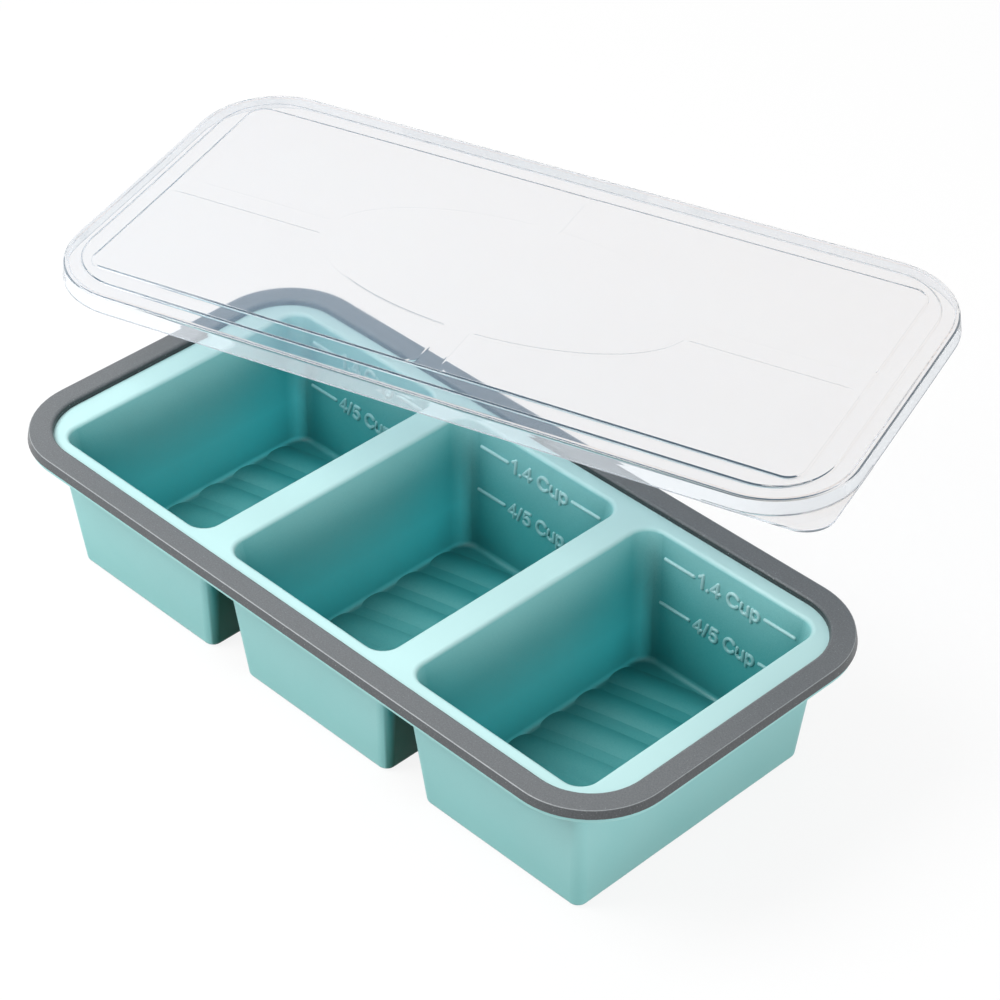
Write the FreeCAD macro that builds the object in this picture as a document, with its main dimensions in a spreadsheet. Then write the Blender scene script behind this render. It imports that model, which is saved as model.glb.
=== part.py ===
"""A three-well freezer tray for baby food, with its stiffened rim and its clear lid.

Lengths are in millimetres and angles in degrees. +Z is up, X runs along the tray, and the
origin is the middle of the tray's underside, on the plane that the wells stand on.

The pieces are the tray's body, the cover around its rim, the steel frame that stiffens the rim
from inside a groove of the cover, and the lid, which is held lifted and turned over the tray.
"""

import FreeCAD, Part
from Sketcher import Constraint
import math
import os
import re

# Driving sizes. Each has its own cell in the sheet, and the features are bound to the cells.
SIZES = {
    # tray
    "tray_height": 58.35,        # underside of the wells to the top of the rim
    "well_count": 3,
    "bridge": 12.15,             # deck between the mouths of two wells
    "end_border": 10.3,          # deck from the rim cover to the first and last mouth
    "side_border": 6.0,          # deck from the rim cover to the mouths' long sides
    "opening_radius": 7.1,       # upright corners of a well
    "wall": 2.2,
    "outer_corner": 4.0,         # upright outer corners of a well
    "wall_draft": 5.1,           # lean of the well walls
    "floor_thickness": 2.6,
    "foot_radius": 2.1,          # outer edge around a well's underside
    "floor_radius": 2.1,         # inner edge around a well's floor
    "mouth_radius": 1.6,         # rounding of a well's mouth
    "lip_thickness": 2.1,        # lip of the tray that carries the rim cover
    "lip_setback": 0.6,          # how far the lip stays inside the cover's lower edge
    "lip_radius": 0.7,
    # flutes on the floors: arcs about one point far in front of each well
    "flute_count": 7,
    "flute_pitch": 16.0,
    "flute_chord": 11.0,
    "flute_height": 0.8,
    "flute_centre_x": 60.0,      # from the well's centre to the arcs' centre, sideways
    "flute_centre_y": 294.0,     # and forwards
    "flute_shift": -3.7,         # moves the whole set of flutes towards the arcs' centre
    # rim cover
    "rim_length": 297.0,
    "rim_width": 141.65,
    "rim_corner": 30.0,
    "rim_band": 8.6,             # width of the cover
    "rim_height": 3.26,
    "rim_flare": 0.65,           # how far the lower edge stands out past the upper edge
    "rim_recess": 2.4,           # depth of the deck below the top of the rim
    "rim_inner_radius": 1.4,
    "rim_outer_radius": 0.6,
    "rim_fit": 0.05,             # gap between the cover and the deck's upright edge
    # stiffening frame in the groove under the rim cover
    "frame_width": 5.0,
    "frame_thickness": 1.2,
    "frame_inset": 2.0,          # from the cover's inner wall to the frame
    "frame_fit": 0.1,            # gap between the frame and the groove
    # lid
    "lid_plate": 0.9,
    "lid_fit": 0.4,              # gap between the rim's top edge and the skirt
    "skirt_depth": 6.6,          # from the lid's outer band down to the skirt's lower edge
    "skirt_draft": 8.0,
    "lid_step": 0.6,             # height of each of the two steps up to the raised panels
    "outer_band": 7.0,
    "inner_band": 7.2,
    "step_corner": 23.0,         # corners of the step between the two bands
    "panel_corner": 6.5,
    "lid_edge_radius": 0.6,
    "channel_width": 8.4,        # sunken cross between the four panels
    "channel_mouth_radius": 5.0,
    "oval_length": 142.0,        # sunken oval in the middle of the cross
    "oval_width": 67.2,
    "tab_thickness": 1.0,        # lifting tab on one corner of the skirt
    "tab_corner": 11.0,
    "tab_reach": 42.0,           # how far the tab runs back along both sides of its corner
    # where the lifted lid is held over the tray
    "lid_x": -26.1,
    "lid_y": 63.7,
    "lid_top": 116.8,            # height of the raised panels
    "lid_turn": 17.83,
    "lid_tip": 1.6,              # rise of the lid's far edge
}

# Formulas that several features share. Lid heights are measured from the rim's top.
DECK = "(tray_height - rim_recess)"
COVER_BASE = "(tray_height - rim_height)"
LIP_BASE = "(tray_height - rim_height - lip_thickness)"
DECK_LENGTH = "(rim_length - 2 * (rim_band + end_border))"
MOUTH_LENGTH = f"(({DECK_LENGTH} - (well_count - 1) * bridge) / well_count)"
MOUTH_WIDTH = "(rim_width - 2 * (rim_band + side_border))"
WELL_PITCH = f"({MOUTH_LENGTH} + bridge)"
FIRST_WELL = f"(-(well_count - 1) / 2 * {WELL_PITCH})"
DECK_INSET = "(rim_band + rim_fit)"
FRAME_OUTER = "(rim_band - frame_inset - frame_width)"
FRAME_INNER = "(rim_band - frame_inset)"
LID_OUTLINE = "(-(lid_fit + lid_plate))"
BAND_TOP = "lid_plate"
INNER_TOP = "(lid_plate + lid_step)"
PANEL_TOP = "(lid_plate + 2 * lid_step)"
SKIRT_BASE = "(lid_plate - skirt_depth)"
STEP_INSET = "(outer_band - lid_fit - lid_plate)"
PANEL_INSET = "(outer_band + inner_band - lid_fit - lid_plate)"
PANEL_LENGTH = f"(rim_length - 2 * {PANEL_INSET})"
PANEL_WIDTH = f"(rim_width - 2 * {PANEL_INSET})"
NEAR = 1e-4

doc = FreeCAD.newDocument("FreezerTray")
sheet = doc.addObject("Spreadsheet::Sheet", "Sizes")
for row, (name, size) in enumerate(SIZES.items(), start=1):
    sheet.set(f"A{row}", name)
    sheet.set(f"B{row}", str(size))
    sheet.setAlias(f"B{row}", name)
doc.recompute()


# ---------------------------------------------------------------- formulas, bodies and sketches

def formula(text):
    """Write plain size names as references to the sheet's cells."""
    return re.sub(r"[a-z_]+", lambda m: f"Sizes.{m[0]}" if m[0] in SIZES else m[0], text)


def value(text):
    """Work a formula out now, for a sketch's first shape or to find an edge."""
    return float(sheet.evalExpression(formula(text)))


def new_body(label):
    body = doc.addObject("PartDesign::Body", label)
    body.Label = label
    return body


def origin_part(body, role):
    return next(part for part in body.Origin.OriginFeatures if part.Role == role)


def new_sketch(body, name, height="0", along="0"):
    """A sketch on the body's XY plane, lifted to a height and moved along X."""
    sketch = body.newObject("Sketcher::SketchObject", name)
    sketch.AttachmentSupport = (origin_part(body, "XY_Plane"), [""])
    sketch.MapMode = "FlatFace"
    sketch.setExpression(".AttachmentOffset.Base.x", formula(along))
    sketch.setExpression(".AttachmentOffset.Base.z", formula(height))
    return sketch


def dimension(sketch, name, text, kind, *where):
    """Add a named dimension and bind it to a formula."""
    index = sketch.addConstraint(Constraint(kind, *where, value(text)))
    sketch.renameConstraint(index, name)
    sketch.setExpression(f"Constraints.{name}", formula(text))


def rectangle(sketch, length, width):
    """Four sides about the sketch's origin."""
    half_x = value(length) / 2
    half_y = value(width) / 2
    turns = ((-1, -1), (1, -1), (1, 1), (-1, 1))
    corners = [FreeCAD.Vector(x * half_x, y * half_y, 0) for x, y in turns]
    for side in range(4):
        sketch.addGeometry(Part.LineSegment(corners[side], corners[(side + 1) % 4]))
    for side in range(4):
        sketch.addConstraint(Constraint("Coincident", side, 2, (side + 1) % 4, 1))
        sketch.addConstraint(Constraint(("Horizontal", "Vertical")[side % 2], side))
    sketch.addConstraint(Constraint("Symmetric", 0, 1, 2, 1, -1, 1))
    dimension(sketch, "Length", length, "DistanceX", 0, 1, 0, 2)
    dimension(sketch, "Width", width, "DistanceY", 1, 1, 1, 2)


def rounded_rectangle(sketch, length, width, radius, tag=""):
    """Four sides joined by four equal arcs, about the sketch's origin."""
    corner = value(radius)
    reach_x = value(length) / 2 - corner
    reach_y = value(width) / 2 - corner
    first = sketch.GeometryCount
    turns = ((1, -1), (1, 1), (-1, 1), (-1, -1))
    centres = [FreeCAD.Vector(x * reach_x, y * reach_y, 0) for x, y in turns]
    for side in range(4):
        angle = math.radians(90 * side - 90)
        out = FreeCAD.Vector(math.cos(angle), math.sin(angle), 0) * corner
        sketch.addGeometry(Part.LineSegment(centres[side - 1] + out, centres[side] + out))
        circle = Part.Circle(centres[side], FreeCAD.Vector(0, 0, 1), corner)
        sketch.addGeometry(Part.ArcOfCircle(circle, angle, angle + math.pi / 2))
    bottom, right, top, left = (first + 2 * side for side in range(4))
    for step in range(8):
        after = first + (step + 1) % 8
        sketch.addConstraint(Constraint("Tangent", first + step, 2, after, 1))
    for side in (bottom, top):
        sketch.addConstraint(Constraint("Horizontal", side))
    for side in (right, left):
        sketch.addConstraint(Constraint("Vertical", side))
        sketch.addConstraint(Constraint("Equal", bottom + 1, side + 1))
    sketch.addConstraint(Constraint("Equal", bottom + 1, top + 1))
    sketch.addConstraint(Constraint("Symmetric", bottom, 1, top, 1, -1, 1))
    dimension(sketch, "Length" + tag, length, "DistanceX", left, 1, right, 1)
    dimension(sketch, "Width" + tag, width, "DistanceY", bottom, 1, top, 1)
    dimension(sketch, "Corner" + tag, radius, "Radius", bottom + 1)


def rim_outline(inset):
    """Length, width and corner of a line drawn inside the rim's top edge, parallel to it."""
    length = f"(rim_length - 2 * {inset})"
    width = f"(rim_width - 2 * {inset})"
    return length, width, f"(rim_corner - {inset})"


def outline_sketch(body, name, inset, height, corner=None):
    """One line parallel to the rim, with its own corner radius if one is given."""
    sketch = new_sketch(body, name, height)
    length, width, parallel_corner = rim_outline(inset)
    rounded_rectangle(sketch, length, width, corner or parallel_corner)
    return sketch


def ring_sketch(body, name, outer_inset, inner_inset, height):
    """The band between two lines parallel to the rim."""
    sketch = new_sketch(body, name, height)
    rounded_rectangle(sketch, *rim_outline(outer_inset), tag="Outer")
    rounded_rectangle(sketch, *rim_outline(inner_inset), tag="Inner")
    return sketch


def rectangle_sketch(body, name, length, width, height, along="0"):
    sketch = new_sketch(body, name, height, along)
    rectangle(sketch, length, width)
    return sketch


def oval_sketch(body, name, length, width, height):
    sketch = new_sketch(body, name, height)
    end = FreeCAD.Vector(value(length) / 2, 0, 0)
    side = FreeCAD.Vector(0, value(width) / 2, 0)
    oval = sketch.addGeometry(Part.Ellipse(end, side, FreeCAD.Vector()))
    sketch.exposeInternalGeometry(oval)
    long_axis, short_axis = oval + 1, oval + 2
    sketch.addConstraint(Constraint("Coincident", oval, 3, -1, 1))
    sketch.addConstraint(Constraint("Horizontal", long_axis))
    dimension(sketch, "Length", length, "Distance", long_axis)
    dimension(sketch, "Width", width, "Distance", short_axis)
    return sketch


def tab_sketch(body):
    """A square on the front right corner of the skirt's lower edge, with its own rounding."""
    sketch = new_sketch(body, "TabOutline", SKIRT_BASE)
    spread = "(lid_fit + lid_plate + skirt_depth * tan(skirt_draft))"
    right = value(f"rim_length / 2 + {spread}")
    front = -value(f"rim_width / 2 + {spread}")
    corner = value("tab_corner")
    left = right - value("tab_reach")
    back = front + value("tab_reach")
    ends = [(left, front), (right - corner, front), (right, front + corner), (right, back),
            (left, back)]
    ends = [FreeCAD.Vector(x, y, 0) for x, y in ends]
    centre = FreeCAD.Vector(right - corner, front + corner, 0)
    circle = Part.Circle(centre, FreeCAD.Vector(0, 0, 1), corner)
    sketch.addGeometry(Part.LineSegment(ends[0], ends[1]))
    sketch.addGeometry(Part.ArcOfCircle(circle, -math.pi / 2, 0))
    sketch.addGeometry(Part.LineSegment(ends[2], ends[3]))
    sketch.addGeometry(Part.LineSegment(ends[3], ends[4]))
    sketch.addGeometry(Part.LineSegment(ends[4], ends[0]))
    sketch.addConstraint(Constraint("Tangent", 0, 2, 1, 1))
    sketch.addConstraint(Constraint("Tangent", 1, 2, 2, 1))
    for side in (2, 3):
        sketch.addConstraint(Constraint("Coincident", side, 2, side + 1, 1))
    sketch.addConstraint(Constraint("Coincident", 4, 2, 0, 1))
    for side in (0, 3):
        sketch.addConstraint(Constraint("Horizontal", side))
    for side in (2, 4):
        sketch.addConstraint(Constraint("Vertical", side))
    dimension(sketch, "Right", f"rim_length / 2 + {spread}", "DistanceX", -1, 1, 2, 1)
    dimension(sketch, "Front", f"rim_width / 2 + {spread}", "DistanceY", 0, 1, -1, 1)
    dimension(sketch, "ReachX", "tab_reach", "DistanceX", 3, 2, 3, 1)
    dimension(sketch, "ReachY", "tab_reach", "DistanceY", 4, 2, 4, 1)
    dimension(sketch, "Corner", "tab_corner", "Radius", 1)
    return sketch


# ------------------------------------------------------------------------------------- features

def add_feature(body, kind, name, profile=None, **formulas):
    feature = body.newObject("PartDesign::" + kind, name)
    if profile is not None:
        feature.Profile = (profile, [""])
    for key, text in formulas.items():
        feature.setExpression(key, formula(text))
    return feature


def pad_up(body, name, profile, height):
    return add_feature(body, "Pad", name, profile, Length=height)


def pad_down(body, name, profile, depth, spread):
    """Grow downwards from the sketch, wider or, with a negative spread, narrower."""
    pad = add_feature(body, "Pad", name, profile, Length=depth, TaperAngle=spread)
    pad.Reversed = True
    return pad


def pocket(body, name, profile, depth, upwards, spread="0"):
    doc.recompute()
    before = body.Shape.Volume
    cut = add_feature(body, "Pocket", name, profile, Length=depth, TaperAngle=spread)
    cut.Reversed = upwards
    return must_cut(cut, before)


def must_cut(feature, before):
    """Recompute a cut and make sure that it takes something away."""
    doc.recompute()
    if not feature.Shape.Volume < before - NEAR:
        raise RuntimeError(feature.Name + " cuts nothing")
    return feature


def fillet(body, name, radius, wanted):
    """Round the edges of the body's last shape that the given test picks."""
    doc.recompute()
    base = body.Tip
    numbered = enumerate(base.Shape.Edges, start=1)
    names = [f"Edge{number}" for number, edge in numbered if wanted(edge)]
    if not names:
        raise RuntimeError(name + " finds no edge")
    feature = add_feature(body, "Fillet", name, Radius=radius)
    feature.Base = (base, names)
    return feature


def row_of_wells(body, name, originals=()):
    """Copies along X, of some features or, with none given, of the whole shape."""
    feature = body.newObject("PartDesign::LinearPattern", name)
    if originals:
        feature.Originals = list(originals)
    else:
        feature.TransformMode = "Whole shape"
    feature.Direction = (origin_part(body, "X_Axis"), [""])
    feature.Mode = "Spacing"
    feature.setExpression("Offset", formula(WELL_PITCH))
    feature.setExpression("Occurrences", formula("well_count"))
    body.Tip = feature
    return feature


# --------------------------------------------------------------------------- tests that pick edges

def lies_at(edge, height):
    """True for an edge that lies in one level plane."""
    box = edge.BoundBox
    return abs(box.ZMin - height) < NEAR and abs(box.ZMax - height) < NEAR


def fits_in(edge, half_x, half_y):
    """True for an edge inside a rectangle about the origin."""
    box = edge.BoundBox
    in_x = max(-box.XMin, box.XMax) < half_x + NEAR
    return in_x and max(-box.YMin, box.YMax) < half_y + NEAR


def rises_from(edge, height):
    """True for an edge that starts at a height and goes up from there."""
    box = edge.BoundBox
    return abs(box.ZMin - height) < NEAR and box.ZLength > NEAR


# --------------------------------------------------------------------------------------- pieces

def well_block(body, name, growth, depth):
    """A block that hangs from the deck and narrows downwards, where the first well is."""
    length = f"{MOUTH_LENGTH} + 2 * {growth}"
    width = f"{MOUTH_WIDTH} + 2 * {growth}"
    outline = rectangle_sketch(body, name + "Outline", length, width, DECK, FIRST_WELL)
    return pad_down(body, name, outline, depth, "-wall_draft")


def flute_radius(number):
    """Radius of a flute's middle line; the middle one of them passes near the well's centre."""
    middle = "sqrt(flute_centre_x ^ 2 + flute_centre_y ^ 2) + flute_shift"
    return f"{middle} + ({number} - (flute_count + 1) / 2) * flute_pitch"


def crosses_floor(number):
    """True for a flute whose middle line meets the floor: a shorter floor carries fewer."""
    lean = f"({DECK} - floor_thickness) * tan(wall_draft)"
    reach_x = value(f"{MOUTH_LENGTH} / 2 - {lean} - opening_radius")
    reach_y = value(f"{MOUTH_WIDTH} / 2 - {lean} - opening_radius")
    flat_corner = value("opening_radius - floor_radius")
    side, front = value("flute_centre_x"), value("flute_centre_y")
    nearest = math.hypot(side - reach_x, front - reach_y) - flat_corner
    farthest = math.hypot(side + reach_x, front + reach_y) + flat_corner
    return nearest < value(flute_radius(number)) < farthest


def add_flute(body, number):
    """Press one long round flute into the underside of the cavity."""
    doc.recompute()
    before = body.Shape.Volume
    tube = "((flute_chord ^ 2 / 4 + flute_height ^ 2) / (2 * flute_height))"
    flute = add_feature(body, "SubtractiveTorus", f"Flute{number}")
    flute.AttachmentSupport = (origin_part(body, "XY_Plane"), [""])
    flute.MapMode = "FlatFace"
    centre = {
        "x": f"{FIRST_WELL} + flute_centre_x",
        "y": "-flute_centre_y",
        "z": f"floor_thickness + flute_height - {tube}",
    }
    for axis, text in centre.items():
        flute.setExpression(".AttachmentOffset.Base." + axis, formula(text))
    flute.setExpression("Radius1", formula(flute_radius(number)))
    flute.setExpression("Radius2", formula(tube))
    must_cut(flute, before)


def make_cavities():
    """The solids that would fill the wells, with the flutes of the floors pressed in."""
    body = new_body("well_cavities")
    floor = value("floor_thickness")
    well_block(body, "Cavity", "0", f"{DECK} - floor_thickness")
    fillet(body, "CavityCorners", "opening_radius", lambda e: rises_from(e, floor))
    fillet(body, "FloorEdge", "floor_radius", lambda e: lies_at(e, floor))
    for number in filter(crosses_floor, range(1, int(value("flute_count")) + 1)):
        add_flute(body, number)
    row_of_wells(body, "CavityRow")
    return body


def make_tray(cavities):
    """Wells, deck and lip in one piece of silicone."""
    body = new_body("tray_body")
    lip_inset = "(lip_setback - rim_flare)"
    lip_outline = outline_sketch(body, "LipOutline", lip_inset, LIP_BASE)
    pad_up(body, "Lip", lip_outline, "lip_thickness")
    lip_base = value(LIP_BASE)
    cover_base = value(COVER_BASE)
    fillet(body, "LipEdges", "lip_radius",
           lambda e: lies_at(e, lip_base) or lies_at(e, cover_base))
    deck_outline = outline_sketch(body, "DeckOutline", DECK_INSET, LIP_BASE)
    pad_up(body, "Deck", deck_outline, f"{DECK} - {LIP_BASE}")
    well = well_block(body, "Well", "wall", DECK)
    row_of_wells(body, "WellRow", [well])
    fillet(body, "WellCorners", "outer_corner", lambda e: rises_from(e, 0))
    fillet(body, "WellFeet", "foot_radius", lambda e: lies_at(e, 0))
    doc.recompute()
    before = body.Shape.Volume
    hollows = body.newObject("PartDesign::Boolean", "Hollows")
    hollows.setObjects([cavities])
    hollows.Type = "Cut"
    must_cut(hollows, before)
    deck = value(DECK)
    reach_x = value(f"{DECK_LENGTH} / 2")
    reach_y = value(f"{MOUTH_WIDTH} / 2")
    fillet(body, "WellMouths", "mouth_radius",
           lambda e: lies_at(e, deck) and fits_in(e, reach_x, reach_y))
    return body


def make_cover():
    """The ring that covers the rim, with a groove underneath for the frame."""
    body = new_body("rim_cover")
    outline = outline_sketch(body, "CoverOutline", "0", "tray_height")
    pad_down(body, "Cover", outline, "rim_height", "atan(rim_flare / rim_height)")
    hole = outline_sketch(body, "CoverHole", "rim_band", "tray_height")
    pocket(body, "Hole", hole, "rim_height", upwards=False)
    outer, inner = f"({FRAME_OUTER} - frame_fit)", f"({FRAME_INNER} + frame_fit)"
    groove = ring_sketch(body, "GrooveOutline", outer, inner, COVER_BASE)
    pocket(body, "Groove", groove, "frame_thickness + frame_fit", upwards=True)
    top = value("tray_height")
    half_x, half_y = value("(rim_length - rim_band) / 2"), value("(rim_width - rim_band) / 2")
    fillet(body, "InnerEdge", "rim_inner_radius",
           lambda e: lies_at(e, top) and fits_in(e, half_x, half_y))
    fillet(body, "OuterEdge", "rim_outer_radius",
           lambda e: lies_at(e, top) and not fits_in(e, half_x, half_y))
    return body


def make_frame():
    """A flat steel strip that runs all round on the tray's lip."""
    body = new_body("steel_frame")
    outline = ring_sketch(body, "FrameOutline", FRAME_OUTER, FRAME_INNER, COVER_BASE)
    pad_up(body, "Frame", outline, "frame_thickness")
    return body


def add_lid_shell(body):
    """The outer band with its skirt and lifting tab, hollow underneath."""
    outline = outline_sketch(body, "LidOutline", LID_OUTLINE, BAND_TOP)
    pad_down(body, "Band", outline, "skirt_depth", "skirt_draft")
    pad_up(body, "Tab", tab_sketch(body), "tab_thickness")
    hollow = outline_sketch(body, "HollowOutline", "(-lid_fit)", "0")
    pocket(body, "Hollow", hollow, "skirt_depth", upwards=False, spread="skirt_draft")


def add_lid_steps(body):
    """Two shallow steps up to the panels, each hollow underneath to keep the wall even."""
    steps = (
        ("Inner", STEP_INSET, BAND_TOP, "step_corner"),
        ("Panel", PANEL_INSET, INNER_TOP, "panel_corner"),
    )
    for name, inset, height, corner in steps:
        raised = outline_sketch(body, name + "Outline", inset, height, corner)
        pad_up(body, name + "Step", raised, "lid_step")
    for name, inset, height, corner in steps:
        under = f"({inset} + lid_plate)"
        floor = f"({height} - lid_plate)"
        corner = f"({corner} - lid_plate)"
        recess = outline_sketch(body, name + "Underside", under, floor, corner)
        pocket(body, name + "Recess", recess, "lid_step", upwards=True)


def add_lid_channels(body):
    """The cross and the oval, sunk one step below the panels, at the same wall thickness."""
    across = "(channel_width + 2 * lid_plate)"
    below = "lid_step"
    plates = (
        rectangle_sketch(body, "LongPlate", f"{PANEL_LENGTH} - lid_plate", across, below),
        rectangle_sketch(body, "ShortPlate", across, f"{PANEL_WIDTH} - lid_plate", below),
        oval_sketch(body, "OvalPlate", "oval_length + 2 * lid_plate",
                    "oval_width + 2 * lid_plate", below),
    )
    for sketch in plates:
        pad_up(body, sketch.Name + "Pad", sketch, "lid_step")
    cuts = (
        rectangle_sketch(body, "LongChannel", f"{PANEL_LENGTH} + lid_plate", "channel_width",
                         PANEL_TOP),
        rectangle_sketch(body, "ShortChannel", "channel_width", f"{PANEL_WIDTH} + lid_plate",
                         PANEL_TOP),
        oval_sketch(body, "Oval", "oval_length", "oval_width", PANEL_TOP),
    )
    for sketch in cuts:
        pocket(body, sketch.Name + "Cut", sketch, "lid_step", upwards=False)


def round_lid(body):
    """Round the channel mouths and the lid's outer edge."""
    inner_top = value(INNER_TOP)
    half_x, half_y = value(f"{PANEL_LENGTH} / 2"), value(f"{PANEL_WIDTH} / 2")
    least = value("channel_width / 2")

    def is_mouth(edge):
        box = edge.BoundBox
        upright = box.XLength < NEAR and box.YLength < NEAR
        at_end = abs(abs(box.XMin) - half_x) < NEAR and abs(abs(box.YMin) - least) < NEAR
        at_side = abs(abs(box.YMin) - half_y) < NEAR and abs(abs(box.XMin) - least) < NEAR
        return upright and box.ZMin > inner_top - NEAR and (at_end or at_side)

    fillet(body, "ChannelMouths", "channel_mouth_radius", is_mouth)
    step_x = value(f"rim_length / 2 - {STEP_INSET}")
    step_y = value(f"rim_width / 2 - {STEP_INSET}")
    band_top = value(BAND_TOP)
    fillet(body, "BandEdge", "lid_edge_radius",
           lambda e: lies_at(e, band_top) and not fits_in(e, step_x, step_y))


def make_lid():
    """Clear lid, drawn with the rim's top at its own zero height, then lifted and turned."""
    body = new_body("lid")
    add_lid_shell(body)
    add_lid_steps(body)
    add_lid_channels(body)
    round_lid(body)
    place = f"vector(lid_x; lid_y; lid_top - {PANEL_TOP})"
    turn = "rotation(lid_turn; 0; lid_tip)"
    body.setExpression("Placement", formula(f"placement({place}; {turn})"))
    return body


# --------------------------------------------------------------------------------- build and write

pieces = [make_tray(make_cavities()), make_cover(), make_frame(), make_lid()]
doc.recompute()

failed = [f"{item.Name}: {item.State}" for item in doc.Objects
          if "Invalid" in item.State or "Error" in item.State]
if failed:
    raise RuntimeError("; ".join(failed))
for piece in pieces:
    if piece.Shape.isNull() or not piece.Shape.isValid() or len(piece.Shape.Solids) != 1:
        raise RuntimeError(piece.Label + " isn't one valid solid")

os.makedirs("parts", exist_ok=True)
for piece in pieces:
    piece.Shape.exportStep(f"parts/{piece.Label}.step")
    print(piece.Label, round(piece.Shape.Volume, 1))
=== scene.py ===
"""Looks of the baby food freezer tray: silicone, clear lid, fill marks, floor, lamps and camera.

Lengths are in metres in the part's own frame: +Z is up, +X runs along the row of wells, and the
origin is the middle of the tray's underside.
"""

import math

import bmesh
import bpy
from mathutils import Matrix, Vector
from mathutils.geometry import delaunay_2d_cdt


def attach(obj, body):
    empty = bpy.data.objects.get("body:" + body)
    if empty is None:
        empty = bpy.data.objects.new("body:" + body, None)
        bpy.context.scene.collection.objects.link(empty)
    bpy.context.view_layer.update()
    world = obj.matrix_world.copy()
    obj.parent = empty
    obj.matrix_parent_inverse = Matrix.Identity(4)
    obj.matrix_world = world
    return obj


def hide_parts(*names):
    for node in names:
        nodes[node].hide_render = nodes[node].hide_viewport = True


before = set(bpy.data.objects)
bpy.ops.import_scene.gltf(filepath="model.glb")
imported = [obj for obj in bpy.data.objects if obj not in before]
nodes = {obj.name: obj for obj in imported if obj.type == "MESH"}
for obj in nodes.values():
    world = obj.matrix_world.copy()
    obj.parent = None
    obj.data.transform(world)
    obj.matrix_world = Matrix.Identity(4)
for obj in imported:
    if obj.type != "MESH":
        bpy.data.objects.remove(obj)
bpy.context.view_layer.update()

MM = 0.001

# Places of the wells, as in the part's source
DECK_HEIGHT = 55.95 * MM
MOUTH_WIDTH = 112.45 * MM
WELL_PITCH = 90.45 * MM
BRIDGE = 12.15 * MM                # deck between two wells
WALL_DRAFT = math.radians(5.1)

# Lid, drawn with the rim's top at zero height, as in the part's source
LID_PLACE = Vector((-26.1, 63.7, 114.7)) * MM
LID_TURN = math.radians(17.83)
LID_TIP = math.radians(1.6)
LID_HALF_LENGTH = 149.8 * MM
LID_HALF_WIDTH = 72.125 * MM
LID_PLATE = 0.9 * MM
BAND_TOP = 0.9 * MM
SKIRT_BASE = -5.7 * MM
SKIRT_LEAN = math.tan(math.radians(8.0))
# insets from the lid's outline, each with the corner radius there
LID_CORNERS = ((0.0, 31.3 * MM), (7.0 * MM, 23.0 * MM), (14.2 * MM, 6.5 * MM))
STEP_RISE = 0.6 * MM
STEP_RUN = 0.5 * MM                # along the front side
SOFT_RUN = 1.1 * MM                # along the other sides
CRISP_FROM = 30 * MM               # from the left end to where the front turns crisp
CRISP_FADE = 50 * MM
CRISP_TURN = (25, 45)              # degrees round a corner: where it starts, and its spread
BAND_EDGE = 1.2 * MM
CHANNEL_HALF = 4.2 * MM
CHANNEL_MOUTH = 5.0 * MM
OVAL_HALF = (71.0 * MM, 33.6 * MM)
SUNK_RISE = 0.09 * MM
SUNK_RUN = 0.8 * MM
LID_DISH = 0.7 * MM
LID_CREASE = math.radians(50)      # sharper edges than this are shaded as edges
TAB_THICKNESS = 1.0 * MM
TAB_CORNER = 11.0 * MM
TAB_REACH = 42.0 * MM

# Fineness of the lid's mesh
FACET_GUARD = 0.25 * MM            # flat strip beside each curved one
CORNER_STEPS = 20
MOUTH_STEPS = 32                   # across a channel's mouth at the panels' edge
PLAIN_STEPS = 8                    # along the rest of a side
SLOPE_STEPS = 14                   # across a band's step
SHEET_GRID = 8 * MM                # between the flat panels' own points

# Fill marks on the rear wall of each well
UPPER_MARK = ("1.4 Cup", 46.0 * MM)
LOWER_MARK = ("4/5 Cup", 27.7 * MM)
WORDS_WIDTH = 28.6 * MM
CAPITAL = 0.66                     # share of a sign's body that a capital takes
CAPITAL_HEIGHT = 6.5 * MM
DASH_NEAR = 15.5 * MM
DASH_FAR = 30.0 * MM
STROKE_RADIUS = 0.72 * MM
STROKE_RISE = 0.68 * MM

# Masks, each from the level where it is 0 to the level where it is 1; most of them place painted
# light or shade
GAP_SIDES = (BRIDGE / 2 - 0.6 * MM, BRIDGE / 2 - 1.2 * MM)
GAP_BELOW_DECK = (3.0 * MM, 4.0 * MM)
GAP_ENDS = (MOUTH_WIDTH / 2 + 1.0 * MM, MOUTH_WIDTH / 2 - 6.0 * MM)
SIDE_HEIGHTS = (8 * MM, 48 * MM)
DECK_HEIGHTS = (DECK_HEIGHT - 1.5 * MM, DECK_HEIGHT - 0.4 * MM)
WALL_HEIGHTS = (20 * MM, 48 * MM)
MARK_HEIGHTS = (LOWER_MARK[1] - 20 * MM, DECK_HEIGHT)
WALL_FACING = (0.4, 0.85)
RING_STEEP = (0.9, 0.35)
RING_ROUND_FROM = (0.45, 0.75)
RING_ROUND_TO = (0.97, 0.85)
RING_SIDE = 0.0005                 # how clearly a face looks inwards or outwards
STEP_FACING = (0.35, 0.6)
STEP_UPWARD = (0.35, 0.5)
SKIRT_LEVEL = (0.35, 0.2)
FIRST_FACES = (2.5, 1.5)
SPECK_LEVELS = (0.78, 0.8)         # lowest noise in a speck when the share is 0, and its top
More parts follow.
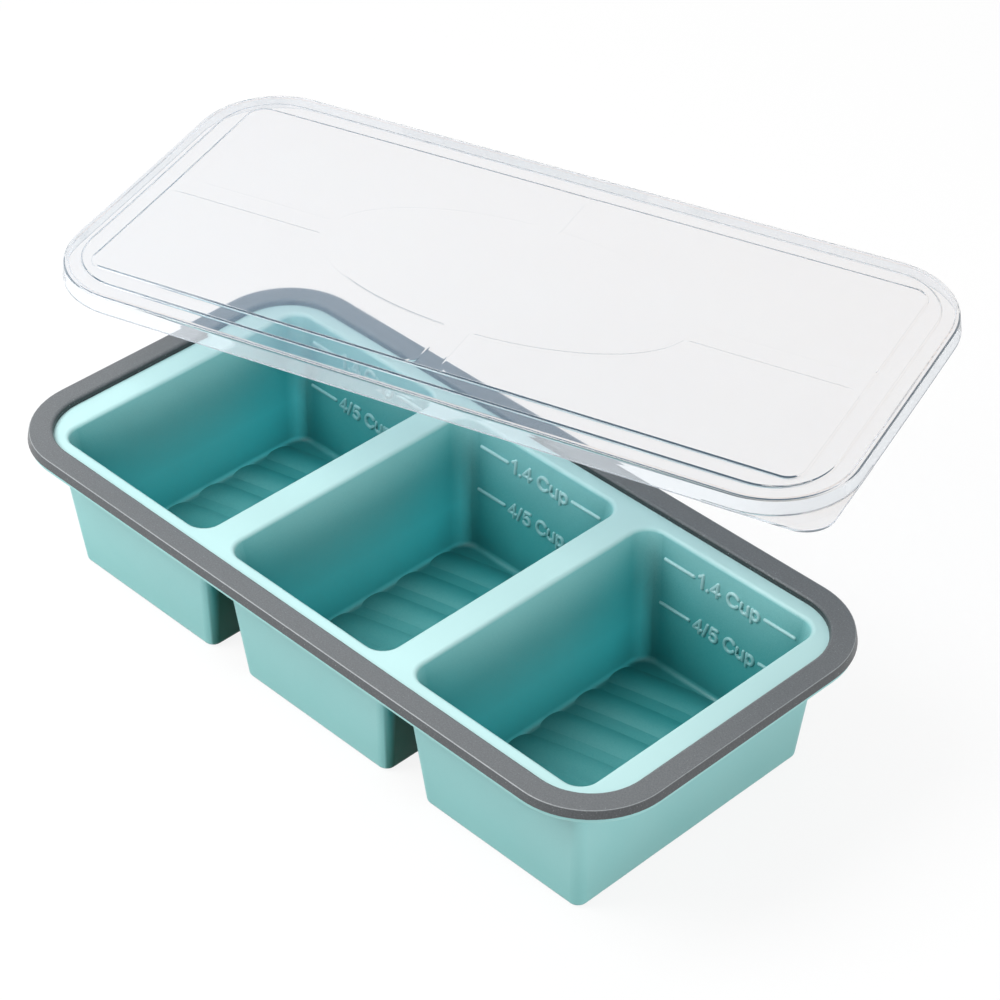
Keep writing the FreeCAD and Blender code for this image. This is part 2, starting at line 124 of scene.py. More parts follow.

# Colours
# Painted light: a paler tone for the deck and the upper marks
TEAL_LIT = (0.47, 0.71, 0.71, 1)
TEAL_SIDE = (0.385, 0.74, 0.735, 1)
# Painted shade: the outer sides darker towards the bottom
TEAL_LOW_SHADE = (0.26, 0.60, 0.59, 1)
# Painted shade: the wells' walls and floors, and the marks lower down
TEAL_DEEP_SHADE = (0.025, 0.26, 0.268, 1)
# Painted light that lifts the shade on walls that face +X along the row, more so lower down
TEAL_WALL = (0.040, 0.44, 0.46, 1)
TEAL_WALL_LOW = (0.13, 0.86, 0.91, 1)
# Painted shade: near-black outer walls in the gaps between wells, with less gloss
TEAL_GAP_SHADE = (0.006, 0.12, 0.09, 1)
TEAL_GLOSS = 0.42
TEAL_GAP_SHADE_GLOSS = 0.1
GREY_OPEN = (0.124, 0.134, 0.142, 1)
# Painted shade: the ring's inner wall
GREY_INNER_SHADE = (0.020, 0.028, 0.030, 1)
# Painted shade: the ring's outer side
GREY_SIDE_SHADE = (0.085, 0.092, 0.098, 1)
# Painted highlight on the ring's outer round, also the colour of its real pale specks
GREY_SPECK_AND_HIGHLIGHT = (0.30, 0.32, 0.33, 1)
GREY_GLOSS = 0.45
STEEL_BARE = (0.55, 0.56, 0.57, 1)
PLASTIC_CLEAR = (1.0, 0.925, 0.865, 1)
PLASTIC_HAZE = (0.28, 0.56, 0.85, 1)
# Painted shade: dark lines on the front-facing steps of the lid's upper face
PLASTIC_STEP_SHADE = (0.26, 0.24, 0.20, 1)
PLASTIC_SKIRT = (0.975, 0.985, 1.0, 1)
# Painted highlight: pale haze on the lid's under-face steps and skirt
PLASTIC_HIGHLIGHT = (0.90, 0.95, 1.0, 1)
LAMP_PASS = (0.68, 0.71, 0.74, 1)
HAZE_SHARE = 0.09
# Haze share of the painted highlight, and the skirt's part of it
HIGHLIGHT_SHARE = 0.55
SKIRT_HIGHLIGHT_SHARE = 0.35
PLASTIC_IOR = 1.46
PLASTIC_GLOSS = 0.3

# Camera
CAMERA_AZIMUTH = math.radians(45.64)
CAMERA_ELEVATION = math.radians(37.61)
CAMERA_TARGET = Vector((-16.57, 51.81, 30.72)) * MM
CAMERA_DISTANCE = 1124.1 * MM
CAMERA_LENS = 112.7

# Light
AMBIENT = 0.50
FLOOR_GLOW = 0.88
FLOOR_COLOUR = (0.95, 0.95, 0.95, 1)
FLOOR_BOUNCE = (0.5, 0.5, 0.5, 1)
LAMP_WATTS = 9.87                  # for a full level at one metre
LAMP_AIM = Vector((0, 0.02, 0.03))
FLOOR_SIZE = 24
FLOOR_DROP = 0.05 * MM
WHITE = (1, 1, 1, 1)


# ------------------------------------------------------------------------------ shader helpers

def shader(tree, kind, at=(0, 0), **values):
    """A shader node with its plain socket values set by name."""
    node = tree.nodes.new("ShaderNode" + kind)
    node.location = at
    for name, setting in values.items():
        label = name.replace("_", " ").title()
        socket = node.inputs.get(label)
        if socket is None:
            setattr(node, name, setting)
        else:
            socket.default_value = setting
    return node


def join(tree, source, target):
    tree.links.new(source, target)


def new_group(name, inputs, outputs):
    """A shader node group with named sockets, and its two end nodes."""
    tree = bpy.data.node_groups.new(name, "ShaderNodeTree")
    for label, kind, start in inputs:
        socket = tree.interface.new_socket(label, in_out="INPUT", socket_type="NodeSocket" + kind)
        socket.default_value = start
    for label, kind in outputs:
        tree.interface.new_socket(label, in_out="OUTPUT", socket_type="NodeSocket" + kind)
    start = tree.nodes.new("NodeGroupInput")
    end = tree.nodes.new("NodeGroupOutput")
    start.location, end.location = (-900, 0), (600, 0)
    return tree, start, end


def use_group(tree, group, at, **values):
    node = tree.nodes.new("ShaderNodeGroup")
    node.node_tree = group
    node.location = at
    for name, setting in values.items():
        node.inputs[name.replace("_", " ").title()].default_value = setting
    return node


def math_node(tree, operation, at, first, second):
    """A Math node of two inputs, each either a socket or a number."""
    node = shader(tree, "Math", at, operation=operation)
    for place, source in enumerate((first, second)):
        if isinstance(source, float):
            node.inputs[place].default_value = source
        else:
            join(tree, source, node.inputs[place])
    return node.outputs[0]


def blended(tree, at, factor, first, second):
    """A colour mix of two inputs, each either a socket or a colour."""
    node = shader(tree, "Mix", at, data_type="RGBA")
    join(tree, factor, node.inputs["Factor"])
    for place, source in ((6, first), (7, second)):
        if isinstance(source, tuple):
            node.inputs[place].default_value = source
        else:
            join(tree, source, node.inputs[place])
    return node.outputs[2]


def faded(tree, at, source, start, end):
    """0 where the source is at the start level, 1 where it is at the end level."""
    node = shader(tree, "MapRange", at)
    join(tree, source, node.inputs["Value"])
    node.inputs["From Min"].default_value = start
    node.inputs["From Max"].default_value = end
    return node.outputs["Result"]


def levelled(tree, at, share, low, high):
    """The low value where the share is 0, and the high one where it is 1."""
    node = shader(tree, "MapRange", at)
    join(tree, share, node.inputs["Value"])
    node.inputs["To Min"].default_value = low
    node.inputs["To Max"].default_value = high
    return node.outputs["Result"]


def place_on_piece(tree, at):
    """Where a point lies on its own piece, so that the pattern moves with the piece."""
    return shader(tree, "TexCoord", at).outputs["Object"]


def make_grain_group():
    """Fine moulded grain: a height for bumps, and a mask of sparse pale specks."""
    tree, start, end = new_group(
        "moulded_grain",
        [("Grains Per Metre", "Float", 900.0), ("Speck Share", "Float", 0.1)],
        [("Height", "Float"), ("Specks", "Float")],
    )
    place = place_on_piece(tree, (-900, 200))
    grain = shader(tree, "TexNoise", (-500, 200), detail=3.0, roughness=0.6)
    join(tree, place, grain.inputs["Vector"])
    join(tree, start.outputs["Grains Per Metre"], grain.inputs["Scale"])
    join(tree, grain.outputs["Fac"], end.inputs["Height"])
    specks = shader(tree, "TexNoise", (-500, -200), detail=1.0, roughness=0.4)
    join(tree, place, specks.inputs["Vector"])
    join(tree, start.outputs["Grains Per Metre"], specks.inputs["Scale"])
    lowest, top = SPECK_LEVELS
    lowest = math_node(tree, "SUBTRACT", (-300, -350), lowest, start.outputs["Speck Share"])
    cut = shader(tree, "MapRange", (0, -200))
    join(tree, specks.outputs["Fac"], cut.inputs["Value"])
    join(tree, lowest, cut.inputs["From Min"])
    cut.inputs["From Max"].default_value = top
    join(tree, cut.outputs["Result"], end.inputs["Specks"])
    return tree


def make_drift_group():
    """Slow change of tone over a surface, lighter and darker about its own colour."""
    tree, start, end = new_group(
        "tone_drift",
        [("Colour", "Color", WHITE), ("Patches Per Metre", "Float", 20.0),
         ("Amount", "Float", 0.05)],
        [("Colour", "Color")],
    )
    patches = shader(tree, "TexNoise", (-500, 100), detail=2.0, roughness=0.5)
    join(tree, place_on_piece(tree, (-900, 200)), patches.inputs["Vector"])
    join(tree, start.outputs["Patches Per Metre"], patches.inputs["Scale"])
    centred = math_node(tree, "SUBTRACT", (-300, 100), patches.outputs["Fac"], 0.5)
    gain = shader(tree, "Math", (-100, 100), operation="MULTIPLY_ADD")
    join(tree, centred, gain.inputs[0])
    join(tree, start.outputs["Amount"], gain.inputs[1])
    gain.inputs[2].default_value = 1.0
    tinted = shader(tree, "VectorMath", (150, 100), operation="SCALE")
    join(tree, start.outputs["Colour"], tinted.inputs[0])
    join(tree, gain.outputs[0], tinted.inputs["Scale"])
    join(tree, tinted.outputs[0], end.inputs["Colour"])
    return tree


def make_handling_group():
    """Roughness with faint smudges, as hands and washing leave them."""
    tree, start, end = new_group(
        "handling_marks",
        [("Clean Roughness", "Float", 0.3), ("Smudged Roughness", "Float", 0.45),
         ("Smudges Per Metre", "Float", 25.0)],
        [("Roughness", "Float")],
    )
    smudges = shader(tree, "TexNoise", (-500, 100), detail=4.0, roughness=0.65, distortion=0.6)
    join(tree, place_on_piece(tree, (-900, 200)), smudges.inputs["Vector"])
    join(tree, start.outputs["Smudges Per Metre"], smudges.inputs["Scale"])
    spread = shader(tree, "MapRange", (0, 100))
    join(tree, smudges.outputs["Fac"], spread.inputs["Value"])
    spread.inputs["From Min"].default_value = 0.4
    spread.inputs["From Max"].default_value = 0.7
    join(tree, start.outputs["Clean Roughness"], spread.inputs["To Min"])
    join(tree, start.outputs["Smudged Roughness"], spread.inputs["To Max"])
    join(tree, spread.outputs["Result"], end.inputs["Roughness"])
    return tree


def make_cavity_shade_group():
    """Painted shade for silicone: darker towards a shade colour the more the piece's own walls
    shut a place in, and dimmer still where they stand close by.
    """
    tree, start, end = new_group(
        "cavity_shade",
        [("Open Colour", "Color", WHITE), ("Deep Colour", "Color", (0.5, 0.5, 0.5, 1)),
         ("Reach", "Float", 0.05), ("Deep At", "Float", 0.2), ("Open At", "Float", 0.9),
         ("Close Reach", "Float", 0.01), ("Shut Level", "Float", 0.5)],
        [("Colour", "Color")],
    )
    # Painted shade: towards the shade colour where the piece's own walls shut a place in
    shut_in = shader(tree, "AmbientOcclusion", (-600, 200), samples=8, only_local=True)
    join(tree, start.outputs["Reach"], shut_in.inputs["Distance"])
    openness = shader(tree, "MapRange", (-300, 200), interpolation_type="SMOOTHSTEP")
    join(tree, shut_in.outputs["AO"], openness.inputs["Value"])
    join(tree, start.outputs["Deep At"], openness.inputs["From Min"])
    join(tree, start.outputs["Open At"], openness.inputs["From Max"])
    blend = blended(tree, (100, 100), openness.outputs["Result"],
                    start.outputs["Deep Colour"], start.outputs["Open Colour"])
    # Painted shade: dimmer still where the piece's walls stand close by
    close_by = shader(tree, "AmbientOcclusion", (-600, -200), samples=8, only_local=True)
    join(tree, start.outputs["Close Reach"], close_by.inputs["Distance"])
    dim = shader(tree, "MapRange", (-300, -200))
    join(tree, close_by.outputs["AO"], dim.inputs["Value"])
    dim.inputs["From Min"].default_value = 0.3
    dim.inputs["From Max"].default_value = 0.93
    join(tree, start.outputs["Shut Level"], dim.inputs["To Min"])
    dimmed = shader(tree, "VectorMath", (300, 100), operation="SCALE")
    join(tree, blend, dimmed.inputs[0])
    join(tree, dim.outputs["Result"], dimmed.inputs["Scale"])
    join(tree, dimmed.outputs[0], end.inputs["Colour"])
    return tree


GRAIN = make_grain_group()
DRIFT = make_drift_group()
HANDLING = make_handling_group()
CAVITY_SHADE = make_cavity_shade_group()


def new_material(name):
    material = bpy.data.materials.new(name)
    material.use_nodes = True
    tree = material.node_tree
    tree.nodes.clear()
    out = shader(tree, "OutputMaterial", (900, 0))
    surface = shader(tree, "BsdfPrincipled", (500, 0))
    join(tree, surface.outputs[0], out.inputs["Surface"])
    return material, tree, surface, out


def add_bump(tree, surface, height, distance):
    bump = shader(tree, "Bump", (250, -300), strength=1.0, distance=distance)
    join(tree, height, bump.inputs["Height"])
    join(tree, bump.outputs["Normal"], surface.inputs["Normal"])


# ----------------------------------------------------------------------------------- materials

def finish_teal(tree, surface, colour):
    """The satin skin that the tray and its raised marks share."""
    tone = use_group(tree, DRIFT, (-300, 200), Patches_Per_Metre=18.0, Amount=0.10)
    join(tree, colour, tone.inputs["Colour"])
    join(tree, tone.outputs["Colour"], surface.inputs["Base Color"])
    touch = use_group(tree, HANDLING, (-300, 0), Clean_Roughness=0.36,
                      Smudged_Roughness=0.46, Smudges_Per_Metre=30.0)
    join(tree, touch.outputs["Roughness"], surface.inputs["Roughness"])
    grain = use_group(tree, GRAIN, (-300, -300), Grains_Per_Metre=2600.0, Speck_Share=0.0)
    add_bump(tree, surface, grain.outputs["Height"], 0.015 * MM)
    surface.inputs["Specular IOR Level"].default_value = TEAL_GLOSS


def gap_shade_mask(tree, at):
    """1 on the outer walls that face each other across the gap between two wells, where the
    painted shade goes.
    """
    across, down = at
    parts = shader(tree, "SeparateXYZ", (across + 200, down))
    join(tree, place_on_piece(tree, at), parts.inputs[0])
    from_middle = math_node(tree, "ABSOLUTE", (across + 400, down), parts.outputs["X"], 0.0)
    from_gap = math_node(tree, "SUBTRACT", (across + 600, down), from_middle, WELL_PITCH / 2)
    from_gap = math_node(tree, "ABSOLUTE", (across + 800, down), from_gap, 0.0)
    hanging = math_node(tree, "SUBTRACT", (across + 400, down - 200), DECK_HEIGHT,
                        parts.outputs["Z"])
    widened = math_node(tree, "MULTIPLY", (across + 600, down - 200), hanging,
                        math.tan(WALL_DRAFT))
    side = math_node(tree, "SUBTRACT", (across + 1000, down), from_gap, widened)
    between = faded(tree, (across + 1200, down), side, *GAP_SIDES)
    below = faded(tree, (across + 1200, down - 200), hanging, *GAP_BELOW_DECK)
    aside = math_node(tree, "ABSOLUTE", (across + 400, down - 400), parts.outputs["Y"], 0.0)
    within = faded(tree, (across + 1200, down - 400), aside, *GAP_ENDS)
    both = math_node(tree, "MULTIPLY", (across + 1400, down), between, below)
    return math_node(tree, "MULTIPLY", (across + 1600, down), both, within)


def make_teal_silicone():
    """The tray's silicone, with painted light and shade: painted light pales the deck, and painted
    shade darkens the lower outer sides, the wells and the gaps between them.
    """
    material, tree, surface, _ = new_material("teal_silicone")
    depth = use_group(tree, CAVITY_SHADE, (-900, 200), Reach=70 * MM, Deep_At=0.38, Open_At=1.0,
                      Close_Reach=18 * MM, Shut_Level=0.6)
    place = shader(tree, "SeparateXYZ", (-2000, 200))
    join(tree, place_on_piece(tree, (-2200, 200)), place.inputs[0])
    height = place.outputs["Z"]
    # Painted shade darkens the outer sides towards the bottom, and painted light pales the deck
    side = blended(tree, (-1500, 300), faded(tree, (-1700, 300), height, *SIDE_HEIGHTS),
                   TEAL_LOW_SHADE, TEAL_SIDE)
    on_deck = faded(tree, (-1500, 100), height, *DECK_HEIGHTS)
    join(tree, blended(tree, (-1200, 300), on_deck, side, TEAL_LIT), depth.inputs["Open Colour"])
    # Painted shade in the wells; painted light lifts it on walls that face +X along the row, more
    # so lower down
    facing = shader(tree, "SeparateXYZ", (-1700, -200))
    join(tree, shader(tree, "NewGeometry", (-1900, -200)).outputs["Normal"], facing.inputs[0])
    across = faded(tree, (-1500, -200), facing.outputs["X"], *WALL_FACING)
    wall = blended(tree, (-1300, -300), faded(tree, (-1500, -400), height, *WALL_HEIGHTS),
                   TEAL_WALL_LOW, TEAL_WALL)
    join(tree, blended(tree, (-1200, -100), across, TEAL_DEEP_SHADE, wall), depth.inputs["Deep Colour"])
    # Painted shade: near-black colour and less gloss on the outer walls across each gap
    gap_shade_share = gap_shade_mask(tree, (-2800, 900))
    finish_teal(tree, surface, blended(tree, (-600, 200), gap_shade_share, depth.outputs["Colour"],
                                       TEAL_GAP_SHADE))
    join(tree, levelled(tree, (-600, 500), gap_shade_share, TEAL_GLOSS, TEAL_GAP_SHADE_GLOSS),
         surface.inputs["Specular IOR Level"])
    return material


def make_teal_marks():
    """The tray's silicone on the raised marks, with painted shade lower in the well and the pale
    painted-light tone higher up.
    """
    material, tree, surface, _ = new_material("teal_marks")
    parts = shader(tree, "SeparateXYZ", (-1000, 200))
    join(tree, place_on_piece(tree, (-1200, 200)), parts.inputs[0])
    level = faded(tree, (-800, 200), parts.outputs["Z"], *MARK_HEIGHTS)
    finish_teal(tree, surface, blended(tree, (-600, 200), level, TEAL_DEEP_SHADE, TEAL_LIT))
    return material


def rim_sides(tree, at):
    """Masks for faces that look at the tray's middle and away from it, and how level they lie."""
    across, down = at
    facing = shader(tree, "NewGeometry", (across, down - 200)).outputs["Normal"]
    level = shader(tree, "VectorMath", (across + 200, down - 200), operation="MULTIPLY")
    join(tree, facing, level.inputs[0])
    level.inputs[1].default_value = (1, 1, 0)
    away = shader(tree, "VectorMath", (across + 400, down), operation="DOT_PRODUCT")
    join(tree, place_on_piece(tree, (across + 200, down)), away.inputs[0])
    join(tree, level.outputs[0], away.inputs[1])
    parts = shader(tree, "SeparateXYZ", (across + 200, down - 400))
    join(tree, facing, parts.inputs[0])
    inwards = math_node(tree, "LESS_THAN", (across + 600, down),
                        away.outputs["Value"], -RING_SIDE)
    outwards = math_node(tree, "GREATER_THAN", (across + 600, down - 200),
                         away.outputs["Value"], RING_SIDE)
    return inwards, outwards, parts.outputs["Z"]


def make_grey_silicone():
    """The ring's silicone: flecked, with painted shade on its inner wall and outer side, and a
    painted highlight on its outer round.
    """
    material, tree, surface, _ = new_material("grey_silicone")
    inwards, outwards, level = rim_sides(tree, (-2300, 200))
    steep = faded(tree, (-1500, -200), level, *RING_STEEP)
    # Painted shade on the ring's inner wall and outer side
    inner = math_node(tree, "MULTIPLY", (-1300, 0), inwards, steep)
    outer = math_node(tree, "MULTIPLY", (-1300, -200), outwards, steep)
    side = blended(tree, (-1100, 300), outer, GREY_OPEN, GREY_SIDE_SHADE)
    # Painted highlight on the outer round, where the top turns down
    below = faded(tree, (-1500, -400), level, *RING_ROUND_FROM)
    above = faded(tree, (-1500, -600), level, *RING_ROUND_TO)
    round_off = math_node(tree, "MULTIPLY", (-1300, -500), below, above)
    crease_highlight = math_node(tree, "MULTIPLY", (-1100, -400), round_off, outwards)
    crease = blended(tree, (-1000, 300), crease_highlight, side, GREY_SPECK_AND_HIGHLIGHT)
    wall = blended(tree, (-900, 200), inner, crease, GREY_INNER_SHADE)
    grain = use_group(tree, GRAIN, (-600, -300), Grains_Per_Metre=2400.0, Speck_Share=0.10)
    tone = use_group(tree, DRIFT, (-600, 200), Patches_Per_Metre=1900.0, Amount=0.8)
    join(tree, wall, tone.inputs["Colour"])
    join(tree, blended(tree, (-200, 200), grain.outputs["Specks"], tone.outputs["Colour"],
                       GREY_SPECK_AND_HIGHLIGHT), surface.inputs["Base Color"])
    touch = use_group(tree, HANDLING, (-600, 0), Clean_Roughness=0.33,
                      Smudged_Roughness=0.41, Smudges_Per_Metre=40.0)
    join(tree, touch.outputs["Roughness"], surface.inputs["Roughness"])
    add_bump(tree, surface, grain.outputs["Height"], 0.06 * MM)
    surface.inputs["Specular IOR Level"].default_value = GREY_GLOSS
    return material


def make_steel():
    """Cold-rolled strip, with patchy tone, faint smudges and fine grain."""
    material, tree, surface, _ = new_material("steel_strip")
    tone = use_group(tree, DRIFT, (-300, 200), Colour=STEEL_BARE,
                     Patches_Per_Metre=60.0, Amount=0.15)
    join(tree, tone.outputs["Colour"], surface.inputs["Base Color"])
    touch = use_group(tree, HANDLING, (-300, 0), Clean_Roughness=0.28,
                      Smudged_Roughness=0.4, Smudges_Per_Metre=60.0)
    join(tree, touch.outputs["Roughness"], surface.inputs["Roughness"])
    grain = use_group(tree, GRAIN, (-300, -300), Grains_Per_Metre=4000.0, Speck_Share=0.0)
    add_bump(tree, surface, grain.outputs["Height"], 0.01 * MM)
    surface.inputs["Metallic"].default_value = 1.0
    return material


def make_clear_plastic():
    """Clear moulded plastic with a faint bluish haze, as a freezer lid has.

    Lamps pass through most of it, as through any thin clear sheet. Painted shade darkens its front
    steps; a painted highlight of whiter haze lies on the under steps and skirt.
    """
    material, tree, surface, out = new_material("clear_plastic")
    tone = use_group(tree, DRIFT, (-300, 200), Colour=PLASTIC_CLEAR,
                     Patches_Per_Metre=25.0, Amount=0.02)
    geometry = shader(tree, "NewGeometry", (-1100, 500))
    front = shader(tree, "VectorMath", (-900, 500), operation="DOT_PRODUCT")
    join(tree, geometry.outputs["Normal"], front.inputs[0])
    front.inputs[1].default_value = (math.sin(LID_TURN), -math.cos(LID_TURN), 0)
    parts = shader(tree, "SeparateXYZ", (-900, 300))
    join(tree, geometry.outputs["Normal"], parts.inputs[0])
    sloping = faded(tree, (-700, 500), front.outputs["Value"], *STEP_FACING)
    on_top = faded(tree, (-700, 300), parts.outputs["Z"], *STEP_UPWARD)
    step = math_node(tree, "MULTIPLY", (-500, 400), sloping, on_top)
    along = shader(tree, "VectorMath", (-900, 800), operation="DOT_PRODUCT")
    join(tree, place_on_piece(tree, (-1100, 800)), along.inputs[0])
    lid_way = Vector((math.cos(LID_TURN), math.sin(LID_TURN), 0))
    along.inputs[1].default_value = lid_way
    left_end = LID_PLACE.dot(lid_way) - LID_HALF_LENGTH
    crisp = faded(tree, (-700, 800), along.outputs["Value"], left_end + CRISP_FROM,
                  left_end + CRISP_FROM + CRISP_FADE)
    step = math_node(tree, "MULTIPLY", (-400, 600), step, crisp)
    # Painted shade on the upper face's front steps; painted highlight on the under face's steps
    under = math_node(tree, "MULTIPLY", (-300, 600), step, geometry.outputs["Backfacing"])
    upper = math_node(tree, "SUBTRACT", (-100, 500), step, under)
    # Painted highlight: the skirt's haze is whiter and stronger
    on_skirt = faded(tree, (-700, 100), parts.outputs["Z"], *SKIRT_LEVEL)
    body = blended(tree, (-200, 300), on_skirt, tone.outputs["Colour"], PLASTIC_SKIRT)
    join(tree, blended(tree, (0, 300), upper, body, PLASTIC_STEP_SHADE), surface.inputs["Base Color"])
    skirt = math_node(tree, "MULTIPLY", (-500, 100), on_skirt, SKIRT_HIGHLIGHT_SHARE)
    pale = math_node(tree, "MAXIMUM", (-100, -600), under, skirt)
    whitened = math_node(tree, "MAXIMUM", (-100, -400), under, on_skirt)
    touch = use_group(tree, HANDLING, (-300, 0), Clean_Roughness=0.015,
                      Smudged_Roughness=0.05, Smudges_Per_Metre=18.0)
    join(tree, touch.outputs["Roughness"], surface.inputs["Roughness"])
    surface.inputs["Transmission Weight"].default_value = 1.0
    surface.inputs["IOR"].default_value = PLASTIC_IOR
    surface.inputs["Specular IOR Level"].default_value = PLASTIC_GLOSS
    haze = shader(tree, "BsdfDiffuse", (500, -400))
    join(tree, blended(tree, (300, -500), whitened, PLASTIC_HAZE, PLASTIC_HIGHLIGHT),
         haze.inputs["Color"])
    share = levelled(tree, (300, -700), pale, HAZE_SHARE, HIGHLIGHT_SHARE)
    hazed = shader(tree, "MixShader", (700, 0))
    path = shader(tree, "LightPath", (100, 500))
    first_faces = faded(tree, (300, -900), path.outputs["Ray Depth"], *FIRST_FACES)
    join(tree, math_node(tree, "MULTIPLY", (500, -700), share, first_faces), hazed.inputs[0])
    join(tree, surface.outputs[0], hazed.inputs[1])
    join(tree, haze.outputs[0], hazed.inputs[2])
    clear = shader(tree, "BsdfTransparent", (500, 300))
    clear.inputs["Color"].default_value = LAMP_PASS
    lamps_pass = shader(tree, "MixShader", (900, 100))
    join(tree, path.outputs["Is Shadow Ray"], lamps_pass.inputs[0])
    join(tree, hazed.outputs[0], lamps_pass.inputs[1])
    join(tree, clear.outputs[0], lamps_pass.inputs[2])
    join(tree, lamps_pass.outputs[0], out.inputs["Surface"])
    return material


TEAL = make_teal_silicone()
TEAL_MARKS = make_teal_marks()
GREY = make_grey_silicone()
STEEL = make_steel()
CLEAR = make_clear_plastic()


def dress(piece, material):
    piece.data.materials.clear()
    piece.data.materials.append(material)


for node_name, finish in (("tray_body", TEAL), ("rim_cover", GREY), ("steel_frame", STEEL),
                          ("lid", CLEAR)):
    dress(nodes[node_name], finish)


# ---------------------------------------------------------------------------------- fill marks

def arc(middle, reach, first, last, steps=10):
    """Points along part of an ellipse, angles in degrees from +X towards +Y."""
    angles = [math.radians(first + (last - first) * step / steps) for step in range(steps + 1)]
    return [(middle[0] + reach[0] * math.cos(angle), middle[1] + reach[1] * math.sin(angle))
            for angle in angles]


# Strokes of each sign on a body of height 1, and how far the next sign stands from it.
# A capital's strokes run from 0.0 to CAPITAL, and small letters reach 0.46.
SIGNS = {
    "1": (0.46, [[(0.13, 0.52), (0.20, 0.56), (0.27, 0.62), (0.30, 0.66)],
                 [(0.30, 0.66), (0.30, 0.0)]]),
    ".": (0.26, [[(0.12, 0.0), (0.12, 0.015)]]),
    "4": (0.56, [[(0.37, 0.66), (0.06, 0.19)], [(0.06, 0.19), (0.49, 0.19)],
                 [(0.37, 0.66), (0.37, 0.0)]]),
    "/": (0.34, [[(0.06, 0.0), (0.24, 0.66)]]),
    "5": (0.56, [[(0.45, 0.66), (0.16, 0.66)], [(0.16, 0.66), (0.10, 0.34)],
                 arc((0.26, 0.20), (0.20, 0.20), 138, -145, 14)]),
    " ": (0.27, []),
    "C": (0.70, [arc((0.36, 0.33), (0.29, 0.33), 38, 322, 20)]),
    "u": (0.55, [[(0.09, 0.46), (0.09, 0.17)] + arc((0.25, 0.17), (0.16, 0.17), 180, 330, 9)
                 + [(0.43, 0.16)], [(0.43, 0.46), (0.43, 0.0)]]),
    "p": (0.50, [[(0.09, 0.46), (0.09, -0.19)],
                 arc((0.27, 0.23), (0.18, 0.23), 160, -160, 16)]),
}


def add_stroke(form, points):
    """A raised stroke of half-round section with rounded ends, closed all round."""
    sides, cap_steps = 12, 3
    line = [Vector((x, y, 0)) for x, y in points]
    runs = [(b - a).normalized() for a, b in zip(line, line[1:])]
    headings = [runs[0]] + [(a + b).normalized() for a, b in zip(runs, runs[1:])] + [runs[-1]]
    stations = []
    for step in range(1, cap_steps + 1):
        angle = math.pi / 2 * step / (cap_steps + 1)
        stations.append((line[0] - headings[0] * STROKE_RADIUS * math.cos(angle), headings[0],
                         math.sin(angle)))
    stations += [(place, heading, 1.0) for place, heading in zip(line, headings)]
    for step in range(cap_steps, 0, -1):
        angle = math.pi / 2 * step / (cap_steps + 1)
        stations.append((line[-1] + headings[-1] * STROKE_RADIUS * math.cos(angle), headings[-1],
                         math.sin(angle)))
    rings = []
    for place, heading, size in stations:
        across = Vector((-heading.y, heading.x, 0))
        ring = []
        for side in range(sides):
            angle = 2 * math.pi * side / sides
            ring.append(form.verts.new(place + across * STROKE_RADIUS * size * math.cos(angle)
                                       + Vector((0, 0, STROKE_RISE * size * math.sin(angle)))))
        rings.append(ring)
    tips = [form.verts.new(line[0] - headings[0] * STROKE_RADIUS),
            form.verts.new(line[-1] + headings[-1] * STROKE_RADIUS)]
    for side in range(sides):
        after = (side + 1) % sides
        for near, far in zip(rings, rings[1:]):
            form.faces.new((near[side], near[after], far[after], far[side]))
        form.faces.new((tips[0], rings[0][after], rings[0][side]))
        form.faces.new((tips[1], rings[-1][side], rings[-1][after]))


def add_words(form, words):
    """The words' strokes about the origin, fitted to the mark's width and capital height."""
    tall = (CAPITAL_HEIGHT - 2 * STROKE_RADIUS) / CAPITAL
    strokes, pen = [], 0.0
    for sign in words:
        advance, lines = SIGNS[sign]
        strokes += [[(pen + x, y) for x, y in line] for line in lines]
        pen += advance
    xs = [x for line in strokes for x, _ in line]
    wide = (WORDS_WIDTH - 2 * STROKE_RADIUS) / (max(xs) - min(xs))
    middle = (max(xs) + min(xs)) / 2
    for line in strokes:
        add_stroke(form, [((x - middle) * wide, (y - CAPITAL / 2) * tall) for x, y in line])


def on_rear_wall(well_x, height):
    """A place on a well's rear wall: X along the wall, Y up it, Z out of it into the well."""
    lean = math.tan(WALL_DRAFT)
    wall_y = MOUTH_WIDTH / 2 - (DECK_HEIGHT - height) * lean
    across = Vector((1, 0, 0))
    up = Vector((0, math.sin(WALL_DRAFT), math.cos(WALL_DRAFT)))
    out = across.cross(up)
    turn = Matrix((across, up, out)).transposed().to_4x4()
    return Matrix.Translation((well_x, wall_y, height)) @ turn


def make_fill_marks(name, well_x):
    """Both fill lines of one well, each with its words between two dashes."""
    whole = bmesh.new()
    for words, height in (UPPER_MARK, LOWER_MARK):
        form = bmesh.new()
        add_words(form, words)
        for side in (-1, 1):
            add_stroke(form, [(side * (DASH_NEAR + STROKE_RADIUS), 0),
                              (side * (DASH_FAR - STROKE_RADIUS), 0)])
        bmesh.ops.recalc_face_normals(form, faces=form.faces)
        form.transform(on_rear_wall(well_x, height))
        mark = bpy.data.meshes.new("mark")
        form.to_mesh(mark)
        form.free()
        whole.from_mesh(mark)
        bpy.data.meshes.remove(mark)
    mesh = bpy.data.meshes.new(name)
    whole.to_mesh(mesh)
    whole.free()
    for face in mesh.polygons:
        face.use_smooth = True
    marks = bpy.data.objects.new(name, mesh)
    bpy.context.scene.collection.objects.link(marks)
    dress(marks, TEAL_MARKS)
    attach(marks, "tray")


for side, side_name in ((-1, "left"), (0, "middle"), (1, "right")):
    make_fill_marks("fill_marks_" + side_name, side * WELL_PITCH)


# ------------------------------------------------------------------------------------------ lid

def ease(share):
    share = min(max(share, 0.0), 1.0)
    return share * share * (3 - 2 * share)


